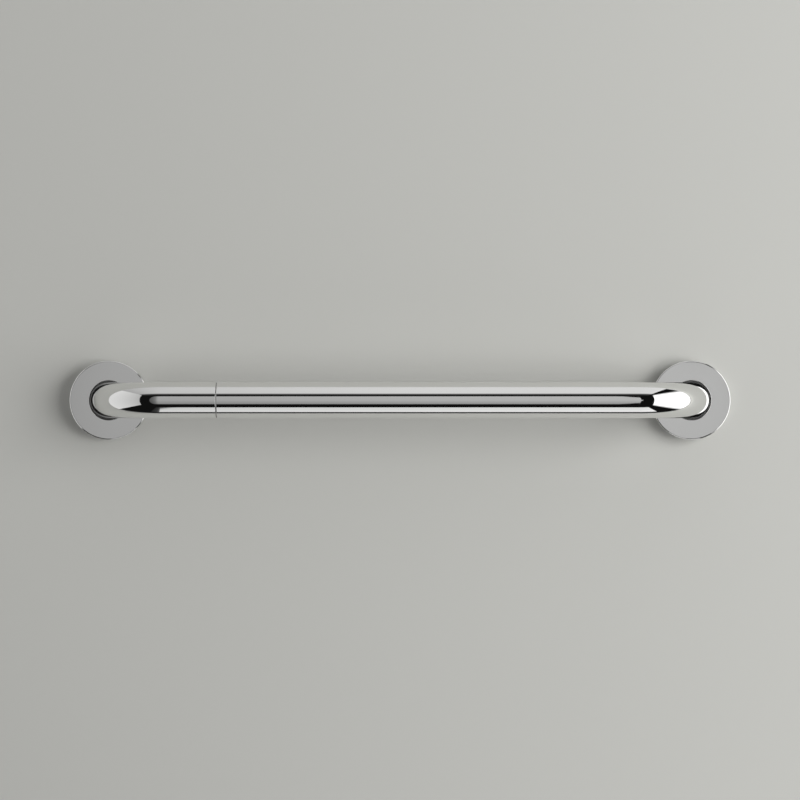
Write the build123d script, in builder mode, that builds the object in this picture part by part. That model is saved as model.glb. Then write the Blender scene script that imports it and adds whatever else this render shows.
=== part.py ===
"""Wall grab bar: a bent chrome tube on two hidden wall plates, each under a round rose.

The wall is the plane Y = 0 and the bar stands out towards -Y. X runs along the bar and Z is up.
The origin is on the wall, midway between the two legs.
"""

import os

from build123d import *

os.makedirs("parts", exist_ok=True)

# The bar
leg_span = 500.0  # between the axes of the two legs
leg_length = 15.0  # from the wall to where the bend starts
bend_radius = 50.0  # at the tube's axis
tube_diameter = 30.0
tube_wall = 2.0

# The seam near the left-hand bend
elbow_reach = 46.3  # straight part of the elbow, from its bend to the seam
seam_edge = 0.7  # round of both tubes' outer edge at the seam
sleeve_length = 60.0
sleeve_wall = 3.0
sleeve_chamfer = 0.8

# The roses
rose_diameter = 68.0
rose_height = 12.0
rose_wall = 1.5
rose_edge = 1.2  # round of the outer edge
rose_hole_edge = 0.4  # round of the hole's front edge
rose_hole_gap = 2.0  # between the tube and the hole, so that the rose slides over the bend

# The rubber ring that grips the rose
ring_section = 2.0
ring_clearance = 0.05

# The wall plates
plate_thickness = 4.0
plate_clearance = 0.5  # between the plate's rim and the rose
plate_edge = 0.3
spigot_clearance = 0.1  # between a spigot or the sleeve and the tube's bore
spigot_bore = 13.0
spigot_chamfer = 1.0
spigot_bend_gap = 2.0  # the spigot stops this far short of the bend

# The wall screw holes
wall_screw_count = 3
wall_screw_hole = 6.2
wall_screw_head = 11.6
wall_screw_cone = 90  # angle of the countersink
wall_screw_turn = 90  # of the first hole, from the side

# The lock screws through the tube's foot
lock_count = 2
lock_turn = 90  # of the first lock screw, from the side
lock_diameter = 5.0
lock_length = 8.0
lock_socket = 2.5  # across the flats
lock_socket_depth = 3.0
lock_chamfer = 0.5
lock_recess = 0.4  # below the tube's outside
lock_clearance = 0.05  # in the spigot
lock_hole_clearance = 0.25  # in the tube
lock_land = 0.8  # of tube between the hole and the tube's foot

# Sizes that follow from those above
tube_radius = tube_diameter / 2
tube_bore = tube_radius - tube_wall
leg_x = leg_span / 2
bar_y = -(leg_length + bend_radius)
seam_x = -leg_x + bend_radius + elbow_reach
insert_radius = tube_bore - spigot_clearance
rose_radius = rose_diameter / 2
rose_inside = rose_radius - rose_wall
rose_hole = tube_radius + rose_hole_gap
ring_center = rose_inside - ring_clearance - ring_section / 2
groove_radius = ring_center - ring_section / 2 - ring_clearance
groove_half = ring_section / 2 + ring_clearance
plate_radius = rose_inside - plate_clearance
plate_middle = plate_thickness / 2
spigot_top = leg_length - spigot_bend_gap
wall_screw_circle = (tube_radius + groove_radius) / 2
lock_radius = lock_diameter / 2
lock_hole = lock_radius + lock_hole_clearance
lock_height = plate_thickness + lock_land + lock_hole
lock_outer_end = tube_radius - lock_recess
lock_spacing = 360 / lock_count


def wall_face(x):
    """Plane on the wall at a leg, facing away from the wall, with its Y up."""
    return Plane(origin=(x, 0, 0), x_dir=(1, 0, 0), z_dir=(0, -1, 0))


def leg_section(x):
    """Plane through a leg's axis, with its X across the leg and its Y away from the wall."""
    return Plane(origin=(x, 0, 0), x_dir=(1, 0, 0), z_dir=(0, 0, -1))


def leg_axis(x):
    """Axis of a leg, pointing away from the wall."""
    return Axis((x, 0, 0), (0, -1, 0))


def lock_planes(x):
    """Planes across each lock screw, centred on the leg's axis and facing outwards."""
    ring = wall_face(x).offset(lock_height).rotated((0, 0, lock_turn))
    return [ring.rotated((0, 0, screw * lock_spacing)).rotated((0, 90, 0)) for screw in range(lock_count)]


# The two tubes: the long bar and the short elbow start at the seam and are bent back to the wall
for name, x in (("bar_tube", leg_x), ("elbow_tube", -leg_x)):
    with BuildPart() as tube:
        with BuildLine():
            tube_path = FilletPolyline(
                (seam_x, bar_y), (x, bar_y), (x, -plate_thickness), radius=bend_radius
            )
        with BuildSketch(Plane(origin=tube_path @ 0, z_dir=tube_path % 0)):
            Circle(tube_radius)
            Circle(tube_bore, mode=Mode.SUBTRACT)
        sweep(path=tube_path)
        seam_axis = Axis(tube_path @ 0, tube_path % 0)
        seam_rim = tube.edges().group_by(seam_axis)[0].sort_by(SortBy.RADIUS)[-1]
        fillet(seam_rim, seam_edge)
        for plane in lock_planes(x):
            with BuildSketch(plane):
                Circle(lock_hole)
            extrude(amount=tube_diameter, mode=Mode.SUBTRACT)

    tube.part.label = name
    export_step(tube.part, f"parts/{name}.step")

# The sleeve bonded into both tubes at the seam
with BuildPart() as coupling_sleeve:
    with BuildSketch(Plane(origin=(seam_x, bar_y, 0), z_dir=(1, 0, 0))):
        Circle(insert_radius)
        Circle(insert_radius - sleeve_wall, mode=Mode.SUBTRACT)
    extrude(amount=sleeve_length / 2, both=True)
    for end in (0, -1):
        sleeve_rim = coupling_sleeve.edges().group_by(Axis.X)[end].sort_by(SortBy.RADIUS)[-1]
        chamfer(sleeve_rim, sleeve_chamfer)

coupling_sleeve.part.label = "coupling_sleeve"
export_step(coupling_sleeve.part, "parts/coupling_sleeve.step")

for side, x in (("left", -leg_x), ("right", leg_x)):

    # The wall plate: a turned disc with a spigot for the tube and a groove for the rubber ring
    with BuildPart() as wall_plate:
        with BuildSketch(leg_section(x)):
            with BuildLine():
                Polyline(
                    (spigot_bore / 2, 0),
                    (plate_radius - plate_edge, 0),
                    (plate_radius, plate_edge),
                    (plate_radius, plate_middle - groove_half),
                    (groove_radius, plate_middle - groove_half),
                    (groove_radius, plate_middle + groove_half),
                    (plate_radius, plate_middle + groove_half),
                    (plate_radius, plate_thickness - plate_edge),
                    (plate_radius - plate_edge, plate_thickness),
                    (insert_radius, plate_thickness),
                    (insert_radius, spigot_top - spigot_chamfer),
                    (insert_radius - spigot_chamfer, spigot_top),
                    (spigot_bore / 2, spigot_top),
                    close=True,
                )
            make_face()
        revolve(axis=leg_axis(x))
        with Locations(wall_face(x).offset(plate_thickness)):
            with PolarLocations(wall_screw_circle, wall_screw_count, start_angle=wall_screw_turn):
                CounterSinkHole(
                    wall_screw_hole / 2, wall_screw_head / 2, counter_sink_angle=wall_screw_cone
                )
        for plane in lock_planes(x):
            with BuildSketch(plane):
                Circle(lock_radius + lock_clearance)
            extrude(amount=tube_diameter, mode=Mode.SUBTRACT)

    wall_plate.part.label = f"{side}_wall_plate"
    export_step(wall_plate.part, f"parts/{side}_wall_plate.step")

    # The lock screws: socket set screws through the tube's foot into the spigot
    with BuildPart() as lock_screws:
        for plane in lock_planes(x):
            with BuildSketch(plane.offset(lock_outer_end)):
                Circle(lock_radius)
            extrude(amount=-lock_length)
            with BuildSketch(plane.offset(lock_outer_end)):
                RegularPolygon(lock_socket / 2, 6, major_radius=False)
            extrude(amount=-lock_socket_depth, mode=Mode.SUBTRACT)
        chamfer(lock_screws.edges().filter_by(GeomType.CIRCLE), lock_chamfer)

    lock_screws.part.label = f"{side}_lock_screws"
    export_step(lock_screws.part, f"parts/{side}_lock_screws.step")

    # The rubber ring in the plate's rim
    with BuildPart() as rose_ring:
        with BuildSketch(leg_section(x)):
            with Locations((ring_center, plate_middle)):
                Circle(ring_section / 2)
        revolve(axis=leg_axis(x))

    rose_ring.part.label = f"{side}_rose_ring"
    export_step(rose_ring.part, f"parts/{side}_rose_ring.step")

    # The rose: a shallow cup pushed over the ring and against the wall
    with BuildPart() as rose:
        with BuildSketch(leg_section(x)):
            with BuildLine():
                Polyline(
                    (rose_inside, 0),
                    (rose_radius, 0),
                    (rose_radius, rose_height),
                    (rose_hole, rose_height),
                    (rose_hole, rose_height - rose_wall),
                    (rose_inside, rose_height - rose_wall),
                    close=True,
                )
            make_face()
        revolve(axis=leg_axis(x))
        front_rims = rose.edges().group_by(Axis.Y)[0].sort_by(SortBy.RADIUS)
        fillet(front_rims[-1], rose_edge)
        fillet(front_rims[0], rose_hole_edge)

    rose.part.label = f"{side}_rose"
    export_step(rose.part, f"parts/{side}_rose.step")
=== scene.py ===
from math import hypot, pi, radians

import bmesh
import bpy
from mathutils import Matrix, Vector


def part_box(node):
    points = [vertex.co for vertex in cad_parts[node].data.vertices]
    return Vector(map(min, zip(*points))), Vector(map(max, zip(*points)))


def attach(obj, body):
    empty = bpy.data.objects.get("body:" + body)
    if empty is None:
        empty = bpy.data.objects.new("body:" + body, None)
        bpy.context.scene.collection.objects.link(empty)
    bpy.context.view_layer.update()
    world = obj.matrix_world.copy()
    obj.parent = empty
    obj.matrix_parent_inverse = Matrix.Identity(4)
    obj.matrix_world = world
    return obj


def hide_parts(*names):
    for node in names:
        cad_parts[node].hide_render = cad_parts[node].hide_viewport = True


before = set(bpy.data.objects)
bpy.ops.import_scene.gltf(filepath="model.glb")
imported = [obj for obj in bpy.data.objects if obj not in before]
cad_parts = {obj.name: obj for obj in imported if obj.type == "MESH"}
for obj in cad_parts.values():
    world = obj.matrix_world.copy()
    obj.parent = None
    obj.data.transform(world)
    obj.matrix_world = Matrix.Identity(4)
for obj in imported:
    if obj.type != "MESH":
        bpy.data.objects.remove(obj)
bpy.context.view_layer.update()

# Wall plates
# A stainless disc under each rose, turned in a lathe, with a spigot that fills the foot of the tube.
# Three countersunk screws hold it to the wall. Its faces keep the fine rings that the tool left.
steel_colours = (0.50, 0.50, 0.49, 1.0), (0.64, 0.64, 0.63, 1.0)
steel_roughness = 0.42, 0.60
stain_size = 0.012
stain_share = 0.6
grain_size = 0.0006
wave_length = pi / 10  # of the Wave texture at a scale of 1
tool_feed = 0.0008  # between two rings on a turned face
tool_share = 0.7
tool_wander = 0.8
tool_depth = 0.00001


class Socket:
    """An output of a shader node. Arithmetic on it adds Math nodes."""

    def __init__(self, tree, output):
        self.tree = tree
        self.output = output

    def node(self, kind, inputs, output=0, stops=(), **settings):
        """Adds any other node: its settings and stops first, then the values or links of its sockets."""
        added = self.tree.nodes.new("ShaderNode" + kind)
        for setting, value in settings.items():
            setattr(added, setting, value)
        for share, level in stops:
            elements = added.color_ramp.elements
            ends = {0: elements[0], 1: elements[-1]}
            stop = ends[share] if share in ends else elements.new(share)
            stop.color = (level, level, level, 1.0)
        for socket, value in inputs.items():
            if isinstance(value, Socket):
                self.tree.links.new(value.output, added.inputs[socket])
            else:
                added.inputs[socket].default_value = value
        return Socket(self.tree, added.outputs[output])

    def feed(self, shader, socket):
        """Links this output to a socket of the shader."""
        self.tree.links.new(self.output, shader.inputs[socket])

    def __add__(self, other):
        return self.node("Math", {0: self, 1: other}, operation="ADD")

    def __mul__(self, other):
        return self.node("Math", {0: self, 1: other}, operation="MULTIPLY")

    def __sub__(self, other):
        return self.node("Math", {0: self, 1: other}, operation="SUBTRACT")

    def __rsub__(self, other):
        return self.node("Math", {0: other, 1: self}, operation="SUBTRACT")

    __radd__ = __add__
    __rmul__ = __mul__


def new_finish(name, constants):
    """A material, its shader with the constant values set, and the piece's own coordinates."""
    finish = bpy.data.materials.new(name)
    finish.use_nodes = True
    shader = finish.node_tree.nodes["Principled BSDF"]
    for socket, value in constants.items():
        shader.inputs[socket].default_value = value
    coordinates = finish.node_tree.nodes.new("ShaderNodeTexCoord")
    return finish, shader, Socket(finish.node_tree, coordinates.outputs["Object"])


def cloud(place, size, detail):
    """Noise from 0 to 1 whose patches are about as wide as the size."""
    return place.node("TexNoise", {"Vector": place, "Scale": 1 / size, "Detail": detail})


def blend(first, second, share):
    """A share of the first mask, with the second for the rest."""
    return share * first + (1 - share) * second


def vary(shader, mask, colours, roughness):
    """Lets a mask run a shader's colour and roughness from the first to the second of each pair."""
    tint = mask.node("Mix", {0: mask, 6: colours[0], 7: colours[1]}, output=2, data_type="RGBA")
    tint.feed(shader, "Base Color")
    (roughness[0] + (roughness[1] - roughness[0]) * mask).feed(shader, "Roughness")


def relief(shader, height, depth):
    """Bends a shader's normal by a height from 0 to 1."""
    height.node("Bump", {"Height": height, "Strength": 1.0, "Distance": depth}).feed(shader, "Normal")


def turned_steel(name, centre, pattern):
    """Bare steel from the lathe, with the tool's rings about the piece's own axis."""
    finish, shader, place = new_finish(name, {"Metallic": 1.0})
    centred = place.node("Mapping", {"Vector": place, "Location": -centre})
    marks = {"Vector": centred, "Scale": wave_length / tool_feed, "Distortion": tool_wander}
    rings = centred.node("TexWave", marks, **pattern)
    grain = cloud(centred, grain_size, detail=2)
    stain = cloud(centred, stain_size, detail=4)
    vary(shader, blend(stain, grain, stain_share), steel_colours, steel_roughness)
    relief(shader, blend(rings, grain, tool_share), tool_depth)
    return finish


def middle(node):
    """The middle of a piece's box."""
    low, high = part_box(node)
    return (low + high) / 2


def paint(node, finish):
    """Gives a piece of the frame its finish."""
    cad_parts[node].material_slots[0].material = finish


for side in ("left", "right"):
    face_rings = {"wave_type": "RINGS", "rings_direction": "Y"}
    plate = f"{side}_wall_plate"
    paint(plate, turned_steel(f"{side}_turned_steel", middle(plate), face_rings))

# Rubber rings
# A black rubber ring lies in the groove round each plate's rim and grips the rose.
# It is moulded, matt, and a little dusty with talc.
rubber_colours = (0.018, 0.018, 0.018, 1.0), (0.06, 0.06, 0.058, 1.0)
rubber_roughness = 0.55, 0.85
talc_size = 0.002
skin_size = 0.0004
skin_depth = 0.000012

rubber, shader, place = new_finish("ring_rubber", {})
talc = cloud(place, talc_size, detail=5)
vary(shader, talc * talc, rubber_colours, rubber_roughness)
relief(shader, cloud(place, skin_size, detail=2), skin_depth)
for side in ("left", "right"):
    paint(f"{side}_rose_ring", rubber)

# Coupling sleeve
# A short steel tube inside the bar at the seam, bonded into both lengths so that they meet in line.
# It is turned too, so the tool's rings run round it.
tube_rings = {"wave_type": "BANDS", "bands_direction": "X"}
paint("coupling_sleeve", turned_steel("sleeve_turned_steel", middle("coupling_sleeve"), tube_rings))

# Tubes
# The bar is drawn tube, bent cold to the wall at both ends, polished and chrome plated.
# The elbow at the left is a separate length, and the two meet at a fine seam with rounded edges, whose
# steep parts are painted dark as shade in the groove.
low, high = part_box("bar_tube")
tube_radius = high.z
tube_wall = 0.002
tube_bore = tube_radius - tube_wall
leg_x = high.x - tube_radius
bar_y = low.y + tube_radius
foot_y = high.y
seam_x = low.x
seam_edge = 0.0007
seam_steps = 8
seam_shade_slope = 0.6  # past this slope the seam's rounded edge takes the dark finish, painted shade in the groove
bend_radius = 0.050
tube_sides = 128
bend_steps = 48
lock_hole = 0.00275
lock_y = -0.00755
lock_sides = 48
hidden_y = -0.011  # the part of the foot below this is under the rose
smooth_angle = radians(30)
chrome_colours = (0.835, 0.835, 0.825, 1.0), (0.875, 0.875, 0.865, 1.0)
chrome_roughness = 0.02, 0.06
haze_size = 0.03
haze_share = 0.7
buffing_size = 0.0008
buffing_stretch = (0.06, 1, 1)  # the marks of the wheel run along the bar
buffing_depth = 0.0000002
# A dark metal finish: the bare inside of the roses, and painted shade on the steep faces of the seam.
bare_and_seam_shade_colours = (0.10, 0.10, 0.10, 1.0), (0.24, 0.235, 0.225, 1.0)
bare_and_seam_shade_roughness = 0.35, 0.55
soil_size = 0.0015

chrome, shader, place = new_finish("polished_chrome", {"Metallic": 1.0})
haze = cloud(place, haze_size, detail=4)
stretched = place.node("Mapping", {"Vector": place, "Scale": buffing_stretch})
buffing = cloud(stretched, buffing_size, detail=3)
vary(shader, blend(haze, buffing, haze_share), chrome_colours, chrome_roughness)
relief(shader, buffing, buffing_depth)

bare_and_seam_shade, shader, place = new_finish("bare_metal_and_seam_shade", {"Metallic": 1.0})
vary(shader, cloud(place, soil_size, detail=3), bare_and_seam_shade_colours, bare_and_seam_shade_roughness)


def add_piece(name, mesh_work, *finishes):
    """Closes a piece's mesh work and puts it in the scene with its finishes and soft edges."""
    mesh = bpy.data.meshes.new(name)
    mesh_work.to_mesh(mesh)
    mesh_work.free()
    mesh.shade_smooth()
    mesh.set_sharp_from_angle(angle=smooth_angle)
    for finish in finishes:
        mesh.materials.append(finish)
    piece = bpy.data.objects.new(name, mesh)
    bpy.context.scene.collection.objects.link(piece)
    return piece


def keep_flats_flat(piece):
    """Leaves the bending of the shading to the small faces at the edges."""
    normals = piece.modifiers.new("flat_faces", "WEIGHTED_NORMAL")
    normals.weight = 100
    normals.keep_sharp = True


def of_kind(geometry, kind):
    """The verts or edges in what an operator returns."""
    return [part for part in geometry if isinstance(part, kind)]


def push(mesh_work, loops, step):
    """Draws loops of edges out by a step and returns the new loops."""
    drawn = bmesh.ops.extrude_edge_only(mesh_work, edges=loops)["geom"]
    bmesh.ops.translate(mesh_work, verts=of_kind(drawn, bmesh.types.BMVert), vec=step)
    return of_kind(drawn, bmesh.types.BMEdge)


def bent_tube(name, side):
    """A tube from its foot on the wall plate, round the bend and along the bar to the seam."""
    work = bmesh.new()
    upright = Matrix.Translation((side * leg_x, foot_y, 0)) @ Matrix.Rotation(pi / 2, 4, "X")
    for radius in (tube_radius, tube_bore):
        bmesh.ops.create_circle(work, segments=tube_sides, radius=radius, matrix=upright)
    loops = work.edges[:]
    bmesh.ops.bridge_loops(work, edges=loops)
    bend_x = side * (leg_x - bend_radius)
    bend_y = bar_y + bend_radius
    loops = push(work, loops, (0, hidden_y - foot_y, 0))
    loops = push(work, loops, (0, bend_y - hidden_y, 0))
    bend = bmesh.ops.spin(
        work, geom=loops, cent=(bend_x, bend_y, 0), axis=(0, 0, 1), angle=-side * pi / 2,
        steps=bend_steps,
    )
    loops = of_kind(bend["geom_last"], bmesh.types.BMEdge)
    loops = push(work, loops, (seam_x - bend_x, 0, 0))
    bmesh.ops.bridge_loops(work, edges=loops)
    rim = sorted(loops, key=bmesh.types.BMEdge.calc_length)[tube_sides:]
    bmesh.ops.bevel(
        work, geom=rim, offset=seam_edge, affect="EDGES", segments=seam_steps, profile=0.5, material=-1
    )
    bmesh.ops.recalc_face_normals(work, faces=work.faces)
    # The steep faces of the seam's rounded edges take the dark finish: painted shade in the groove.
    for face in work.faces:
        at_seam = abs(face.calc_center_median().x - seam_x) < seam_edge
        if at_seam and abs(face.normal.x) > seam_shade_slope:
            face.material_index = 1
    return add_piece(name, work, chrome, bare_and_seam_shade)


def drill_lock_holes(tube, side):
    """Cuts the two holes for the lock screws across the foot of a tube."""
    work = bmesh.new()
    bmesh.ops.create_cone(
        work, cap_ends=True, segments=lock_sides, radius1=lock_hole, radius2=lock_hole,
        depth=4 * tube_radius, matrix=Matrix.Translation((side * leg_x, lock_y, 0)),
    )
    drill = add_piece("lock_hole_drill", work, chrome)
    cut = tube.modifiers.new("lock_holes", "BOOLEAN")
    cut.object = drill
    drilled = tube.evaluated_get(bpy.context.evaluated_depsgraph_get())
    tube.data = bpy.data.meshes.new_from_object(drilled)
    tube.modifiers.clear()
    bpy.data.objects.remove(drill)


for node, side in (("elbow_tube", -1), ("bar_tube", 1)):
    tube = bent_tube(f"chrome_{node}", side)
    drill_lock_holes(tube, side)
    keep_flats_flat(tube)
    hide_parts(node)
    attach(tube, "root")

# Lock screws
# Two short set screws with a hexagon socket go through the foot of each tube into the spigot.
# They are hardened steel, blackened in oil.
screw_colours = (0.16, 0.16, 0.165, 1.0), (0.34, 0.33, 0.32, 1.0)
screw_roughness = 0.35, 0.60
oil_size = 0.003

screw_steel, shader, place = new_finish("screw_steel", {"Metallic": 1.0})
oil = cloud(place, oil_size, detail=5)
vary(shader, oil * oil, screw_colours, screw_roughness)
for side in ("left", "right"):
    paint(f"{side}_lock_screws", screw_steel)

# Roses
# A round cover over each wall plate: a shallow cup turned from bar, polished and chrome plated outside.
# It slides along the tube and is pushed over the rubber ring until it meets the wall.
low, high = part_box("left_rose")
rose_radius = high.z
rose_height = high.y - low.y
rose_wall = 0.0015
rose_edge = 0.0012
rose_hole_gap = 0.002
rose_hole = tube_radius + rose_hole_gap
rose_hole_edge = 0.0004
rose_turns = 192
edge_steps = 10
weld = 0.000001


def rose_cup(name, centre_x):
    """A cup turned from its section: wall, rounded front edge, face and the rounded edge of the hole."""
    inside = rose_radius - rose_wall
    under = rose_height - rose_wall
    section = (
        (inside, 0), (rose_radius, 0), (rose_radius, rose_height),
        (rose_hole, rose_height), (rose_hole, under), (inside, under),
    )
    work = bmesh.new()
    corners = [work.verts.new((centre_x + across, -out, 0)) for across, out in section]
    work.faces.new(corners)
    for corner, radius in ((corners[2], rose_edge), (corners[3], rose_hole_edge)):
        bmesh.ops.bevel(
            work, geom=[corner], offset=radius, affect="VERTICES", segments=edge_steps, profile=0.5,
            material=-1,
        )
    bmesh.ops.delete(work, geom=work.faces[:], context="FACES_ONLY")
    bmesh.ops.spin(
        work, geom=work.edges[:], cent=(centre_x, 0, 0), axis=(0, 1, 0), angle=2 * pi,
        steps=rose_turns, use_merge=True,
    )
    bmesh.ops.remove_doubles(work, verts=work.verts, dist=weld)
    bmesh.ops.recalc_face_normals(work, faces=work.faces)
    for face in work.faces:
        centre = face.calc_center_median()
        if -centre.y <= under and hypot(centre.x - centre_x, centre.z) <= inside:
            face.material_index = 1
    return add_piece(name, work, chrome, bare_and_seam_shade)


for node in ("left_rose", "right_rose"):
    rose = rose_cup(f"chrome_{node}", middle(node).x)
    keep_flats_flat(rose)
    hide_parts(node)
    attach(rose, "root")

# Backdrop and floor
# A plain pale wall carries the bar, and a plain pale floor lies well below it.
# The wall shows from the front only, and is open behind the plates, so that the back can be looked at.
wall_paint = (0.500, 0.501, 0.475, 1.0)
wall_roughness = 0.8
wall_width = 5.6
wall_height = 2.56  # up to just under the card above the bar
wall_gap = 0.0004
opening_lap = 0.0005  # of the wall under the roses' rims
opening_radius = rose_radius - opening_lap
opening_sides = 96
screw_count = 3
screw_circle = 0.0227
screw_opening = 0.0034
screw_sides = 24
floor_pale = (0.80, 0.80, 0.80, 1.0)  # as pale as the room, so that its edge doesn't show
floor_z = -1.05
floor_half = 6.0
unlit = {"Base Color": (0.0, 0.0, 0.0, 1.0), "Specular IOR Level": 0.0, "Emission Strength": 1.0}

dry_paint = {"Base Color": wall_paint, "Roughness": wall_roughness}
wall_finish, shader, place = new_finish("wall_paint", dry_paint)
tree = wall_finish.node_tree
behind = Socket(tree, tree.nodes.new("ShaderNodeNewGeometry").outputs["Backfacing"])
front_only = behind.node(
    "MixShader",
    {0: behind, 1: Socket(tree, shader.outputs[0]), 2: behind.node("BsdfTransparent", {})},
)
front_only.feed(tree.nodes["Material Output"], "Surface")

work = bmesh.new()
on_wall = Matrix.Translation((0, wall_gap, 0)) @ Matrix.Rotation(pi / 2, 4, "X")
sheet = Matrix.Diagonal((wall_width, wall_height, 1, 1)) @ Matrix.Rotation(pi / 4, 4, "Z")
bmesh.ops.create_circle(work, segments=4, radius=hypot(0.5, 0.5), matrix=on_wall @ sheet)
for side in (-1, 1):
    plate = on_wall @ Matrix.Translation((side * leg_x, 0, 0))
    bmesh.ops.create_circle(work, segments=opening_sides, radius=opening_radius, matrix=plate)
    for turn in range(screw_count):
        turned = Matrix.Rotation(turn * 2 * pi / screw_count, 4, "Z")
        screw = plate @ turned @ Matrix.Translation((0, screw_circle, 0))
        bmesh.ops.create_circle(work, segments=screw_sides, radius=screw_opening, matrix=screw)
bmesh.ops.triangle_fill(work, edges=work.edges, use_beauty=True, use_dissolve=False, normal=(0, -1, 0))
wall = add_piece("wall", work, wall_finish)

floor_finish, shader, place = new_finish("floor_pale", {**unlit, "Emission Color": floor_pale})
work = bmesh.new()
bmesh.ops.create_grid(work, size=floor_half, matrix=Matrix.Translation((0, 0, floor_z)))
floor = add_piece("floor", work, floor_finish)
floor.visible_diffuse = False
floor.visible_glossy = False

# Studio light
# Large soft cards stand round the bar with dark between them, and the chrome mirrors them as bands.
# Each glows by its stops along and across. The front one narrows at the right to a tongue for the rose.
# A lamp at the right, which the chrome doesn't mirror, lights the wall.
even = (0, 1.0), (1, 1.0)


def light_card(name, stand, along, towards, width, height, glow_along, glow_across=even, outline=even):
    """A card that faces the bar. Its outline gives its share of the height at each share of the width."""
    finish, shader, place = new_finish(name, unlit)
    shares = {
        axis: place.node("SeparateXYZ", {0: place}, output=axis) * (1 / extent) + 0.5
        for axis, extent in (("X", width), ("Y", height))
    }
    glow = shares["X"].node("ValToRGB", {"Fac": shares["X"]}, stops=glow_along)
    fade = shares["Y"].node("ValToRGB", {"Fac": shares["Y"]}, stops=glow_across)
    tree = finish.node_tree
    behind = Socket(tree, tree.nodes.new("ShaderNodeNewGeometry").outputs["Backfacing"])
    (glow * fade * (1 - behind)).feed(shader, "Emission Color")
    work = bmesh.new()
    lower = [(share, -part) for share, part in outline]
    shape = [*lower, *reversed(outline)]
    corners = [(share * width - width / 2, part * height / 2, 0) for share, part in shape]
    work.faces.new([work.verts.new(corner) for corner in corners])
    card = add_piece(name, work, finish)
    upward = Vector(towards).cross(along)
    card.matrix_world = Matrix.Translation(stand) @ Matrix((along, upward, towards)).transposed().to_4x4()
    card.visible_camera = False
    card.visible_shadow = False


light_card(
    "right_card", stand=(1.357, -1.0, 0.01), along=(0.208, 0.978, 0), towards=(-0.978, 0.208, 0),
    width=1.94, height=2.63, glow_along=((0, 1.6), (1, 1.6)),
    glow_across=((0, 0.15), (0.14, 1.0), (0.86, 1.0), (1, 0.15)),
)
light_card(
    "left_card", stand=(-1.48, -0.895, 0.10), along=(0, -1, 0), towards=(1, 0, 0),
    width=1.79, height=2.40, glow_along=((0, 0.79), (1, 0.50)),
)
light_card(
    "top_card", stand=(-0.265, -1.1, 1.30), along=(1, 0, 0), towards=(0, 0, -1),
    width=2.43, height=2.2, glow_along=((0, 0.42), (0.485, 0.62), (0.61, 0.74), (1, 0.80)),
    glow_across=((0, 1.0), (0.62, 1.0), (0.67, 0.6), (0.74, 0.14), (0.86, 0.06), (1, 0.03)),
)
light_card(
    "bottom_card", stand=(0.07, -0.605, -1.0), along=(1, 0, 0), towards=(0, 0, 1),
    width=1.06, height=0.79,
    glow_along=((0, 0.02), (0.10, 0.05), (0.136, 0.12), (0.150, 0.74), (1, 1.02)),
    glow_across=((0, 0.86), (1, 1.0)),
)
light_card(
    "front_card", stand=(-0.27, -2.55, -0.012), along=(-1, 0, 0), towards=(0, 1, 0),
    width=1.78, height=2.31,
    glow_along=(
        (0, 0.55), (0.10, 0.55), (0.34, 0.50), (0.55, 0.43), (0.64, 0.42), (0.685, 0.38),
        (0.766, 0.22), (0.874, 0.14), (1, 0.10),
    ),
    glow_across=((0, 0.60), (0.5, 0.95), (1, 1.0)),
    outline=(
        (0, 0.09), (0.06, 0.09), (0.096, 0.50), (0.110, 0.78), (0.114, 0.96), (0.120, 1.0),
        (0.775, 1.0), (0.83, 0.97), (0.888, 0.87), (0.934, 0.71), (0.97, 0.50), (0.992, 0.26), (1, 0.05),
    ),
)

lamp_stand = (3.0, -2.4, -0.20)
lamp_width = 2.2
lamp_height = 3.8
lamp_watts = 174

lamp = bpy.data.lights.new("wall_lamp", "AREA")
lamp.shape = "RECTANGLE"
lamp.size = lamp_width
lamp.size_y = lamp_height
lamp.energy = lamp_watts
wall_lamp = bpy.data.objects.new("wall_lamp", lamp)
wall_lamp.location = lamp_stand
wall_lamp.rotation_euler = Vector(lamp_stand).to_track_quat("Z", "Y").to_euler()
wall_lamp.visible_camera = False
wall_lamp.visible_glossy = False
bpy.context.scene.collection.objects.link(wall_lamp)

# Room
# The chrome finds the room dark between the cards, and pale behind the wall, paler upwards.
# The camera sees it pale all round.
room_pale = 0.80
room_dark = 0.006
rear_level = 0.45
rear_lift = 0.35

world = bpy.data.worlds.new("studio")
bpy.context.scene.world = world
world.use_nodes = True
tree = world.node_tree
seen = Socket(tree, tree.nodes.new("ShaderNodeLightPath").outputs["Is Camera Ray"])
direction = Socket(tree, tree.nodes.new("ShaderNodeTexCoord").outputs["Generated"])
into_wall = direction.node("SeparateXYZ", {0: direction}, output="Y")
upward = direction.node("SeparateXYZ", {0: direction}, output="Z")
rear = into_wall.node("Math", {0: into_wall, 1: 0.0}, operation="GREATER_THAN")
glow = room_pale * seen + (1 - seen) * (room_dark + rear * (rear_level + rear_lift * upward))
glow.feed(tree.nodes["Background"], "Strength")
tree.nodes["Background"].inputs["Color"].default_value = (1, 1, 1, 1)

# Camera
# It looks straight at the middle of the bar from the room, level with it.
# Colours reach the picture as they are, with no film look.
camera_stand = (-0.0001, -2.28, 0.0002)
camera_lens = 118.9

camera = bpy.data.objects.new("camera", bpy.data.cameras.new("camera"))
camera.data.lens = camera_lens
camera.location = camera_stand
camera.rotation_euler = (radians(90), 0, 0)
bpy.context.scene.collection.objects.link(camera)
bpy.context.scene.camera = camera
bpy.context.scene.view_settings.view_transform = "Standard"
